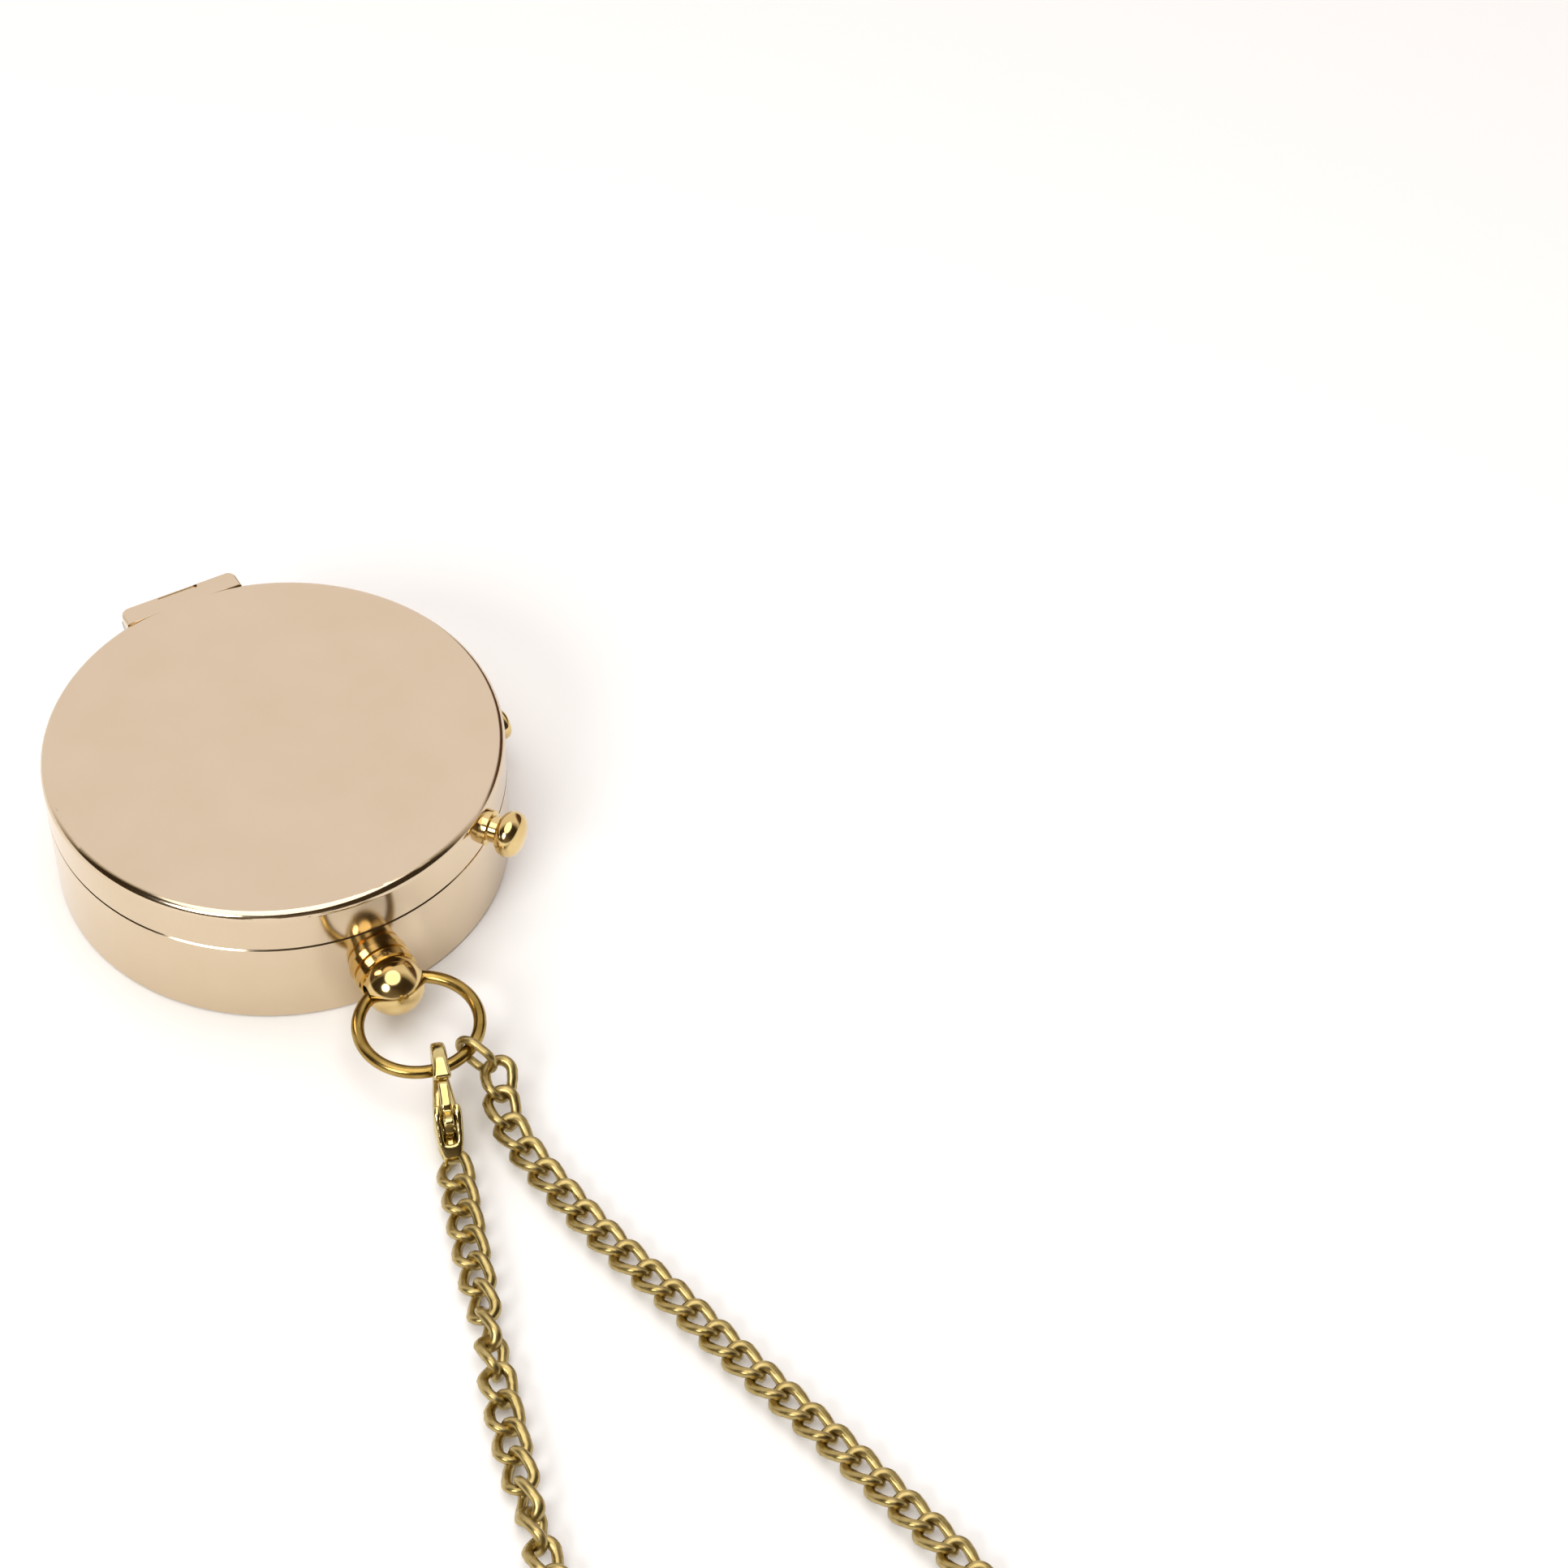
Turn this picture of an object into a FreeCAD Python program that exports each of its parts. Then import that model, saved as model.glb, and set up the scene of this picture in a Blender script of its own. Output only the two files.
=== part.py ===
# Handheld bearing compass: a round brass case with a hinged lid, a pendant with a
# swinging bow ring, and a curb chain that ends in a lobster clasp.
# Millimetres. Origin: centre of the underside. +Z up, -Y towards the pendant.
import FreeCAD
import Part
import Sketcher
import math
import os

doc = FreeCAD.newDocument("bearing_compass")
Vector = FreeCAD.Vector
Rotation = FreeCAD.Rotation
Placement = FreeCAD.Placement

# ---------------------------------------------------------------- driving dimensions
SIZES = {
    "case_radius": 38.1, "case_height": 17.0, "total_height": 25.4,
    "floor_top": 1.6, "lower_bore": 35.3, "upper_bore": 36.3, "ledge_top": 11.2,
    "foot_round": 0.8, "edge_round": 1.5, "seam_bevel": 0.2, "lid_bottom": 17.1, "lid_roof": 24.2,
    "dial_top": 12.0, "dial_hole": 2.1, "dial_edge": 36.2,
    "chapter_top": 14.6, "chapter_foot": 32.6, "chapter_lip": 34.0,
    "gasket_top": 14.9, "crystal_top": 16.3, "bezel_bore": 33.6, "bezel_shoulder": 34.3,
    "post_radius": 1.2, "post_flange": 4.5, "post_flange_top": 3.0, "post_neck": 12.4, "post_tip": 13.4,
    "sleeve_bore": 1.28, "sleeve_radius": 2.0, "sleeve_foot": 7.6, "sleeve_step": 8.4, "sleeve_top": 12.6,
    "sleeve_flange": 3.2,
    "hub_radius": 1.9, "hub_bore": 1.4, "hub_foot": 12.8, "blade_foot": 13.1, "blade_top": 13.6,
    "hub_flange": 2.9, "hub_shoulder": 14.0, "hub_top": 14.25, "jewel_foot": 13.55, "jewel_top": 13.9,
    "blade_length": 29.0, "blade_width": 3.0,
    "knob_height": 8.4, "knob_neck": 2.25, "plunger_shaft": 1.22,
    "bush_radius": 2.8, "bush_flange": 3.1, "bush_bore": 2.32, "bush_guide": 1.3,
    "stud_height": 20.8, "stud_angle": -51.5, "stud_shank": 1.25, "stud_collar": 3.0, "nut_radius": 2.4,
    "mirror_radius": 32.5, "mirror_foot": 23.0,
    "hinge_offset": 38.7, "hinge_height": 22.9, "hinge_width": 21.0, "knuckle_width": 6.9,
    "knuckle_radius": 1.6, "pin_radius": 0.9, "pin_bore": 0.95, "lug_face": 40.3, "lug_foot": 17.5,
    "pendant_height": 8.5, "ball_offset": 43.5, "ball_radius": 5.0, "ball_hole": 1.8,
    "collar_radius": 5.1, "collar_face": 41.3, "spigot_radius": 1.6,
    "bow_radius": 9.75, "bow_wire": 1.05, "bow_offset": 52.65,
    "link_wire": 0.7, "link_length": 5.2, "link_width": 3.4, "chain_diameter": 4.4,
    "clasp_length": 20.0,
}
sheet = doc.addObject("Spreadsheet::Sheet", "sizes")
for row, (alias, number) in enumerate(SIZES.items(), start=1):
    sheet.set("A%d" % row, alias)
    sheet.set("B%d" % row, str(number))
    sheet.setAlias("B%d" % row, alias)
doc.recompute()

subparts = []


def size(words):
    """The number that a sum such as 'case_height - seam_bevel' stands for."""
    total = 0.0
    sign = 1.0
    for word in str(words).split():
        if word in ("+", "-"):
            sign = 1.0 if word == "+" else -1.0
        else:
            total += sign * (sheet.get(word) if word in SIZES else float(word))
    return total


def bound(words):
    """The same sum as a FreeCAD expression on the sheet."""
    return " ".join("sizes." + word if word in SIZES else word for word in str(words).split())


def keep(feature, label):
    feature.Label = label
    subparts.append(feature)
    return feature


def origin_plane(body, role):
    for plane in body.Origin.OriginFeatures:
        if plane.Role == role:
            return plane
    raise RuntimeError("no plane " + role)


def arc_through(start, end, radius, side):
    """An arc of a given radius between two points; side +1 bulges left of the way."""
    chord = end - start
    half = chord.Length / 2
    sagitta = radius - math.sqrt(max(radius * radius - half * half, 0.0))
    left = Vector(-chord.y, chord.x, 0).normalize()
    return Part.Arc(start, (start + end) * 0.5 + left * (sagitta * side), end)


def pin_point(sketch, line, which, across, up):
    """Hold one end of a line at (across, up), both bound to the sheet."""
    for kind, words, axis in (("DistanceX", across, -2), ("DistanceY", up, -1)):
        if size(words) == 0:
            sketch.addConstraint(Sketcher.Constraint("PointOnObject", line, which, axis))
            continue
        number = sketch.addConstraint(Sketcher.Constraint(kind, -1, 1, line, which, size(words)))
        sketch.setExpression("Constraints[%d]" % number, bound(words))


def outline_sketch(body, role, outline):
    """A closed outline. A point is (across, up) or (across, up, arc radius, bulge side)."""
    sketch = body.newObject("Sketcher::SketchObject", body.Name + "_outline")
    sketch.AttachmentSupport = [(origin_plane(body, role), "")]
    sketch.MapMode = "FlatFace"
    corners = [Vector(size(point[0]), size(point[1]), 0) for point in outline]
    ends = []
    for index, point in enumerate(outline):
        start, end = corners[index - 1], corners[index]
        if len(point) == 4:
            edge = sketch.addGeometry(arc_through(start, end, size(point[2]), point[3]), False)
        else:
            edge = sketch.addGeometry(Part.LineSegment(start, end), False)
        first = sketch.getPoint(edge, 1)
        ends.append((edge, 1, 2) if (first - start).Length < 1e-6 else (edge, 2, 1))
    for index, point in enumerate(outline):
        edge, _, tail = ends[index]
        following, head, _ = ends[(index + 1) % len(ends)]
        sketch.addConstraint(Sketcher.Constraint("Coincident", edge, tail, following, head))
        pin_point(sketch, edge, tail, point[0], point[1])
        if len(point) == 4:
            number = sketch.addConstraint(Sketcher.Constraint("Radius", edge, size(point[2])))
            sketch.setExpression("Constraints[%d]" % number, bound(point[2]))
    return sketch


def turned(name, outline, placement=None):
    """A lathe-turned piece: the outline (radius, height) spun about the Z axis."""
    body = doc.addObject("PartDesign::Body", name)
    sketch = outline_sketch(body, "XZ_Plane", outline)
    spin = body.newObject("PartDesign::Revolution", name + "_spin")
    spin.Profile = sketch
    spin.ReferenceAxis = (sketch, ["V_Axis"])
    spin.Angle = 360.0
    if placement:
        body.Placement = placement
    doc.recompute()
    return body


def ring(name, inner, outer, low, high, placement=None):
    outline = [(inner, low), (outer, low), (outer, high), (inner, high)]
    return turned(name, outline, placement)


def disc(name, radius, low, high, placement=None):
    return ring(name, "0", radius, low, high, placement)


def rod(name, radius, length, base, axis):
    """A Part::Cylinder from a base point along an axis, its sizes bound to the sheet."""
    cylinder = doc.addObject("Part::Cylinder", name)
    cylinder.setExpression("Radius", bound(radius))
    cylinder.setExpression("Height", bound(length))
    cylinder.Placement = Placement(base, Rotation(Vector(0, 0, 1), axis))
    return cylinder


def block(name, low, high):
    """A Part::Box between two corners given as sums of sizes."""
    box = doc.addObject("Part::Box", name)
    for index, side in enumerate(("Length", "Width", "Height")):
        box.setExpression(side, "%s - (%s)" % (bound(high[index]), bound(low[index])))
    for letter, words in zip("xyz", low):
        box.setExpression("Placement.Base." + letter, bound(words))
    return box


def joined(name, pieces):
    union = doc.addObject("Part::MultiFuse", name)
    union.Shapes = pieces
    union.Refine = True
    doc.recompute()
    return union


def cut(name, base, tools):
    """base with every tool taken away; the volume has to drop."""
    tool = tools[0] if len(tools) == 1 else joined(name + "_tools", tools)
    result = doc.addObject("Part::Cut", name)
    result.Base = base
    result.Tool = tool
    doc.recompute()
    if result.Shape.Volume >= base.Shape.Volume - 1e-6:
        raise RuntimeError(name + ": the cut takes nothing away")
    return result


def common(name, first, second):
    result = doc.addObject("Part::Common", name)
    result.Base = first
    result.Tool = second
    doc.recompute()
    return result


def solid(name, shape, placement=None):
    """A Part::Feature for a shape made with Part's own functions."""
    feature = doc.addObject("Part::Feature", name)
    feature.Shape = shape
    if placement:
        feature.Placement = placement
    return feature


def outward(angle, height):
    """Placement that lays a piece's Z axis level, pointing out of the case at an angle."""
    away = Vector(math.cos(math.radians(angle)), math.sin(math.radians(angle)), 0)
    return Placement(Vector(0, 0, size(height)), Rotation(Vector(0, 0, 1), away))


UP = Vector(0, 0, 1)
EAST = Vector(1, 0, 0)
SOUTH = Vector(0, -1, 0)
NORTH = Vector(0, 1, 0)

# ---------------------------------------------------------------- case body
# One turned cup. A ledge in its bore carries the dial; the wall is bored for the
# pendant, the transit-lock bush and the hinge screws, the floor for four small screws.
case_blank = turned("case_blank", [
    ("0", "0"),
    ("case_radius - foot_round", "0"),
    ("case_radius", "foot_round", "foot_round", -1),
    ("case_radius", "case_height - seam_bevel"),
    ("case_radius - seam_bevel", "case_height"),
    ("upper_bore", "case_height"),
    ("upper_bore", "ledge_top"),
    ("lower_bore", "ledge_top"),
    ("lower_bore", "floor_top"),
    ("0", "floor_top"),
])
SCREW_SHANK = 0.5
SCREW_HEAD = 0.9
SCREW_HEAD_HEIGHT = 0.6
SCREW_SPOTS = [(0, 3.1, 3.0), (0, -3.1, 3.0), (17, 4.1, 2.4), (17, -4.1, 2.4)]
SCREW_END = 0.6
HINGE_SCREW_HEIGHTS = (5.5, 9.5)
HINGE_SCREW_SHANK = 0.7
wall_holes = [
    rod("pendant_hole", "spigot_radius", "9", Vector(0, -31, size("pendant_height")), SOUTH),
    rod("bush_hole", "bush_radius", "9", Vector(31, 0, size("knob_height")), EAST),
]
for height in HINGE_SCREW_HEIGHTS:
    wall_holes.append(rod("hinge_screw_hole", str(HINGE_SCREW_SHANK), "9", Vector(0, 31, height), NORTH))
for across, along, _ in SCREW_SPOTS:
    wall_holes.append(rod("floor_hole", str(SCREW_SHANK), "2", Vector(across, along, SCREW_END), UP))
case_body = keep(cut("case_drilled", case_blank, wall_holes), "case_body")

# A plain cylinder of the case's outside, which shapes the seat of each fitting on the wall.
case_plug = rod("case_plug", "case_radius", "30", Vector(0, 0, 0), UP)

# ---------------------------------------------------------------- dial stack
dial_plate = keep(ring("dial", "dial_hole", "dial_edge", "ledge_top", "dial_top"), "dial_plate")
keep(turned("chapter", [
    ("chapter_foot", "dial_top"),
    ("dial_edge", "dial_top"),
    ("dial_edge", "chapter_top"),
    ("chapter_lip", "chapter_top"),
]), "chapter_ring")
keep(ring("gasket", "chapter_lip", "dial_edge", "chapter_top", "gasket_top"), "crystal_gasket")
keep(disc("crystal_disc", "dial_edge", "gasket_top", "crystal_top"), "crystal")
bezel = keep(turned("bezel", [
    ("bezel_bore", "crystal_top"),
    ("upper_bore", "crystal_top"),
    ("upper_bore", "case_height"),
    ("bezel_shoulder", "case_height"),
]), "bezel_ring")

# ---------------------------------------------------------------- pivot post and lift sleeve
post_blank = turned("post_blank", [
    ("0", "floor_top"),
    ("post_flange", "floor_top"),
    ("post_flange", "post_flange_top"),
    ("post_radius", "post_flange_top"),
    ("post_radius", "post_neck"),
    ("0.7", "post_neck"),
    ("0.06", "post_tip"),
    ("0", "post_tip"),
])
post_holes = [
    rod("post_hole", str(SCREW_SHANK), "3", Vector(across, along, 1), UP)
    for across, along, top in SCREW_SPOTS if across == 0
]
keep(cut("post_drilled", post_blank, post_holes), "pivot_post")
keep(turned("sleeve", [
    ("sleeve_bore", "sleeve_foot"),
    ("sleeve_flange", "sleeve_foot"),
    ("sleeve_flange", "sleeve_step"),
    ("sleeve_radius", "sleeve_step"),
    ("sleeve_radius", "sleeve_top"),
    ("sleeve_bore", "sleeve_top"),
]), "lift_sleeve")

# ---------------------------------------------------------------- needle
keep(turned("hub", [
    ("hub_bore", "hub_foot"),
    ("hub_radius", "hub_foot"),
    ("hub_radius", "blade_top"),
    ("hub_flange", "blade_top"),
    ("hub_flange", "hub_shoulder"),
    ("hub_radius", "hub_top"),
    ("0", "hub_top"),
    ("0", "jewel_top"),
    ("hub_bore", "jewel_top"),
]), "needle_hub")
keep(disc("jewel", "hub_bore", "jewel_foot", "jewel_top"), "needle_jewel")
blade_body = doc.addObject("PartDesign::Body", "blade")
blade_sketch = outline_sketch(blade_body, "XY_Plane", [
    ("0", "blade_length"),
    ("0 - blade_width", "0"),
    ("0", "0 - blade_length"),
    ("blade_width", "0"),
])
blade_pad = blade_body.newObject("PartDesign::Pad", "blade_pad")
blade_pad.Profile = blade_sketch
blade_pad.setExpression("Length", bound("blade_top - blade_foot"))
blade_body.setExpression("Placement.Base.z", bound("blade_foot"))
doc.recompute()
blade_hole = rod("blade_hole", "hub_radius", "2", Vector(0, 0, 12.5), UP)
keep(cut("blade_bored", blade_body, [blade_hole]), "needle_blade")
weight_outer = block("weight_outer", ("-1.7", "-17", "12.8"), ("1.7", "-14.5", "13.9"))
weight_slot = block("weight_slot", ("-1.5", "-18", "blade_foot"), ("1.5", "-14", "blade_top"))
keep(cut("weight", weight_outer, [weight_slot]), "needle_counterweight")

# ---------------------------------------------------------------- transit lock
# Pushing the side knob in tips a lever, which lifts the sleeve and needle off the post.
keep(turned("plunger", [
    ("0", "28.3"),
    ("0.3", "28.3"),
    ("plunger_shaft", "30.4"),
    ("plunger_shaft", "36.4"),
    ("knob_neck", "36.4"),
    ("knob_neck", "40"),
    ("2.2", "40"),
    ("2.2", "42.2", "1.375", -1),
    ("0.4", "42.44184", "9.805", -1),
    ("0", "42.44184"),
], outward(0, "knob_height")), "lock_knob")
bush_tube = turned("bush_tube", [
    ("bush_bore", "38.7"),
    ("bush_radius", "38.7"),
    ("bush_radius", "32.4"),
    ("bush_guide", "32.4"),
    ("bush_guide", "33.2"),
    ("bush_bore", "33.2"),
], outward(0, "knob_height"))
bush_rim = ring("bush_rim", "bush_bore", "bush_flange", "37.3", "38.7", outward(0, "knob_height"))
keep(joined("bush", [bush_tube, cut("bush_saddle", bush_rim, [case_plug])]), "lock_bush")
keep(ring("clip", "plunger_shaft", "2", "31.9", "32.3", outward(0, "knob_height")), "lock_clip")
keep(ring("spring", "1.63", "1.93", "33.4", "36.2", outward(0, "knob_height")), "lock_spring")

LEVER_PIVOT = Vector(17, 0, 7.0)
lever_arm = block("lever_arm", ("2.8", "-1.6", "6.6"), ("29.8", "1.6", "7.3"))
lever_fork = block("lever_fork", ("0", "-3", "6.6"), ("3.4", "3", "7.3"))
lever_boss = rod("lever_boss", "1.2", "3.4", LEVER_PIVOT - NORTH * 1.7, NORTH)
lever_blank = joined("lever_blank", [lever_arm, lever_fork, lever_boss])
lever_slot = block("lever_slot", ("-1", "-1.5", "6"), ("0", "1.5", "8"))
lever_eye = rod("lever_eye", "1.5", "3", Vector(0, 0, 6), UP)
lever_bore = rod("lever_bore", "0.6", "6", LEVER_PIVOT - NORTH * 3, NORTH)
keep(cut("lever_cut", lever_blank, [lever_slot, lever_eye, lever_bore]), "lift_lever")
keep(rod("lever_axle", "0.6", "6.8", LEVER_PIVOT - NORTH * 3.4, NORTH), "lever_pin")
bracket_pieces = [block("bracket_foot", ("14", "-5.2", "floor_top"), ("20", "5.2", "2.4"))]
for side, low, high in (("left", "-3", "-2"), ("right", "2", "3")):
    bracket_pieces.append(block("bracket_" + side, ("15.6", low, "2.4"), ("18.4", high, "8.4")))
bracket_blank = joined("bracket_blank", bracket_pieces)
bracket_holes = [rod("bracket_bore", "0.65", "8", LEVER_PIVOT - NORTH * 4, NORTH)]
for across, along, _ in SCREW_SPOTS:
    if across:
        bracket_holes.append(rod("bracket_hole", str(SCREW_SHANK), "3", Vector(across, along, 1), UP))
keep(cut("bracket_drilled", bracket_blank, bracket_holes), "lever_bracket")

screws = []
for across, along, seat in SCREW_SPOTS:
    shank = Part.makeCylinder(SCREW_SHANK, seat - SCREW_END, Vector(across, along, SCREW_END))
    head = Part.makeCylinder(SCREW_HEAD, SCREW_HEAD_HEIGHT, Vector(across, along, seat))
    screws.append(shank.fuse(head))
keep(solid("small_screws", Part.makeCompound(screws)), "movement_screws")

# ---------------------------------------------------------------- lid
lid_blank = turned("lid_blank", [
    ("0", "lid_roof"),
    ("upper_bore", "lid_roof"),
    ("upper_bore", "lid_bottom"),
    ("case_radius - seam_bevel", "lid_bottom"),
    ("case_radius", "lid_bottom + seam_bevel"),
    ("case_radius", "total_height - edge_round"),
    ("case_radius - edge_round", "total_height", "edge_round", -1),
    ("0", "total_height"),
])
stud_place = outward(size("stud_angle"), "stud_height")
stud_way = stud_place.Rotation.multVec(UP)
stud_hole = rod("stud_hole", "stud_shank", "9", stud_place.Base + stud_way * 31, stud_way)
HINGE = Vector(0, size("hinge_offset"), size("hinge_height"))
POCKET_HALF = 3.6
POCKET_RADIUS = 1.75
knuckle_pocket = rod("knuckle_pocket", str(POCKET_RADIUS), str(2 * POCKET_HALF),
                     HINGE - EAST * POCKET_HALF, EAST)
leg_pocket = block("leg_pocket", (str(-POCKET_HALF), "36", "16"), (str(POCKET_HALF), "42", "24.7"))
top_slot = block("top_slot", (str(-POCKET_HALF), "39.4", "24"), (str(POCKET_HALF), "39.7", "27"))
slot_end = block("slot_end", (str(POCKET_HALF - 0.7), "39.2", "24"), (str(POCKET_HALF), "39.85", "27"))
lug_half = size("hinge_width") / 2
lug_seat = block("lug_seat", (str(-lug_half), "36.4", "23.75"), (str(lug_half), "42", "26"))
lid_seated = cut("lid_seated", lid_blank, [lug_seat])
pin_notch = block("pin_notch", ("-5", "37.7", "21.9"), ("5", "42", "23.9"))
lid_shell = keep(cut("lid_cut", lid_seated, [stud_hole, knuckle_pocket, pin_notch]), "lid_shell")

keep(disc("mirror", "mirror_radius", "mirror_foot", "lid_roof"), "lid_mirror")
keep(turned("mirror_ring", [
    ("mirror_radius", "lid_roof"),
    ("34.2", "lid_roof"),
    ("34.2", "22.6"),
    ("31.7", "22.6"),
    ("31.7", "mirror_foot"),
    ("mirror_radius", "mirror_foot"),
]), "lid_mirror_ring")
stud_core = turned("stud_core", [
    ("0", "34.2"),
    ("stud_shank", "34.2"),
    ("stud_shank", "39.3"),
    ("stud_collar", "39.3"),
    ("knob_neck", "39.5"),
    ("knob_neck", "40.8"),
    ("2.5", "40.8"),
    ("2.5", "44.7", "2.0589", -1),
    ("0.4", "45.090009", "8.0125", -1),
    ("0", "45.090009"),
], stud_place)
stud_rim = ring("stud_rim", "1", "stud_collar", "37.3", "39.3", stud_place)
keep(joined("stud", [stud_core, cut("stud_saddle", stud_rim, [case_plug])]), "lid_stud")
keep(ring("stud_nut_ring", "stud_shank", "nut_radius", "34.7", "36.2", stud_place), "lid_stud_nut")

# ---------------------------------------------------------------- hinge
# The lid carries the two outer knuckles as one brazed lug, flush with its top; the
# middle knuckle stands on a leg that two screws hold to the case wall.
lug_low = size("lug_foot")
lug_deep = size("lug_face") - 36.4
lug_block = Part.makeBox(2 * lug_half, lug_deep, size("total_height") - lug_low, Vector(-lug_half, 36.4, lug_low))
CORNER_ROUND = 1.6
TOP_ROUND = 0.6
upright = [e for e in lug_block.Edges if abs(e.BoundBox.ZLength) > 5 and e.BoundBox.YMin > 40]
lug_block = lug_block.makeFillet(CORNER_ROUND, upright)
rim = [e for e in lug_block.Edges if e.BoundBox.ZMin > 25.3 and e.BoundBox.YMin > 38]
lug_block = lug_block.makeFillet(TOP_ROUND, rim)
lug_blank = solid("lug_blank", lug_block)
pin_hole = rod("pin_hole", "pin_radius", "30", HINGE - EAST * 15, EAST)
lug_seated = cut("lug_seated", lug_blank, [lid_seated])
keep(cut("lug_cut", lug_seated, [leg_pocket, top_slot, slot_end, pin_hole]), "lid_hinge_lug")
keep(rod("pin", "pin_radius", "hinge_width", HINGE - EAST * lug_half, EAST), "hinge_pin")
LEG_FACE = "40"
half_knuckle = "3.45"
knuckle = rod("knuckle", "knuckle_radius", "knuckle_width", HINGE - EAST * 3.45, EAST)
leg = block("leg", ("-" + half_knuckle, "38.25", "16.8"), (half_knuckle, LEG_FACE, "hinge_height"))
foot = block("foot", ("-" + half_knuckle, "37", "3.6"), (half_knuckle, LEG_FACE, "16.8"))
knuckle_blank = joined("knuckle_blank", [knuckle, leg, foot])
knuckle_bore = rod("knuckle_bore", "pin_bore", "10", HINGE - EAST * 5, EAST)
leg_holes = [case_plug, knuckle_bore]
HINGE_SCREW_HEAD = 1.3
hinge_screws = []
for height in HINGE_SCREW_HEIGHTS:
    shank = Part.makeCylinder(HINGE_SCREW_SHANK, 5.8, Vector(0, 34.2, height), NORTH)
    head = Part.makeCone(HINGE_SCREW_SHANK, HINGE_SCREW_HEAD, 0.7, Vector(0, 39.3, height), NORTH)
    hinge_screws.append(shank.fuse(head))
hinge_screw_group = keep(solid("leg_screws", Part.makeCompound(hinge_screws)), "hinge_screws")
leg_holes.append(hinge_screw_group)
keep(cut("knuckle_cut", knuckle_blank, leg_holes), "body_hinge_knuckle")

# A bent leaf on the bezel that rubs inside the lid's rim and keeps it shut.
leaf_ring = ring("leaf_ring", "35.4", "35.9", "case_height", "19.4")
leaf_window = block("leaf_window", ("-6", "-37", "16"), ("6", "-30", "21"))
keep(common("leaf", leaf_ring, leaf_window), "lid_catch_spring")

# ---------------------------------------------------------------- pendant and bow
BALL = Vector(0, -size("ball_offset"), size("pendant_height"))
head_blank = turned("head_blank", [
    ("0", "36"),
    ("collar_radius", "36"),
    ("collar_radius", "39.3"),
    ("4.6", "39.45"),
    ("4.6", "39.75"),
    ("collar_radius", "39.9"),
    ("collar_radius", "collar_face"),
    ("4.489989", "collar_face"),
    ("0.4", "48.483974", "ball_radius", -1),
    ("0", "48.483974"),
], outward(-90, "pendant_height"))
spigot = rod("spigot", "spigot_radius", "6", Vector(0, -32.3, BALL.z), SOUTH)
cross_hole = rod("cross_hole", "ball_hole", "14", BALL - EAST * 7, EAST)
head_fitted = cut("head_fitted", head_blank, [case_plug])
head_bored = cut("head_bored", head_fitted, [cross_hole])
keep(joined("pendant_turning", [head_bored, spigot]), "pendant")
nut_prism = doc.addObject("Part::Prism", "nut_prism")
nut_prism.Polygon = 6
nut_prism.Circumradius = 2.9
nut_prism.Height = 2.2
nut_prism.Placement = Placement(Vector(0, -32.7, BALL.z), Rotation(UP, SOUTH))
nut_hole = rod("nut_hole", "spigot_radius", "6", Vector(0, -31, BALL.z), SOUTH)
keep(cut("nut_cut", nut_prism, [nut_hole]), "pendant_nut")
bow = doc.addObject("Part::Torus", "bow")
bow.setExpression("Radius1", bound("bow_radius"))
bow.setExpression("Radius2", bound("bow_wire"))
bow.Placement = Placement(Vector(0, -size("bow_offset"), BALL.z), Rotation())
keep(bow, "bow_ring")


def rounded_loop(length, width, wire):
    """A closed wire loop: inner length and width, centre line a rounded rectangle."""
    half_long = length / 2 + wire
    half_wide = width / 2 + wire
    straight = half_long - half_wide
    right, left = Vector(straight, half_wide, 0), Vector(-straight, half_wide, 0)
    low_left, low_right = Vector(-straight, -half_wide, 0), Vector(straight, -half_wide, 0)
    path = Part.Wire([
        Part.LineSegment(right, left).toShape(),
        Part.Arc(left, Vector(-half_long, 0, 0), low_left).toShape(),
        Part.LineSegment(low_left, low_right).toShape(),
        Part.Arc(low_right, Vector(half_long, 0, 0), right).toShape(),
    ])
    profile = Part.Wire([Part.makeCircle(wire, right, EAST)])
    return path.makePipeShell([profile], True, False)


def frame_place(origin, along, up):
    """Placement with local X along one way and local Y along another."""
    x_way = Vector(along).normalize()
    y_way = Vector(up).normalize()
    z_way = x_way.cross(y_way)
    matrix = FreeCAD.Matrix(
        x_way.x, y_way.x, z_way.x, origin.x, x_way.y, y_way.y, z_way.y, origin.y,
        x_way.z, y_way.z, z_way.z, origin.z, 0, 0, 0, 1)
    return Placement(matrix)


def bow_point(across):
    """The point of the bow's far half that lies this far from the middle."""
    reach = math.sqrt(size("bow_radius") ** 2 - across ** 2)
    return Vector(across, -size("bow_offset") - reach, size("pendant_height"))


# ---------------------------------------------------------------- chain end link
LINK_ACROSS = 4.8
LINK_DROP = math.radians(22)
link_spot = bow_point(LINK_ACROSS)
radial = (link_spot - Vector(0, -size("bow_offset"), link_spot.z)).normalize()
link_way = radial * math.cos(LINK_DROP) - UP * math.sin(LINK_DROP)
link_up = radial * math.sin(LINK_DROP) + UP * math.cos(LINK_DROP)
link_shift = size("link_length") / 2 - size("bow_wire") - 0.15
link_place = frame_place(link_spot + link_way * link_shift, link_way, link_up)
link_loop = rounded_loop(size("link_length"), size("link_width"), size("link_wire"))
keep(solid("end_link", link_loop, link_place), "chain_end_link")

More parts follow.
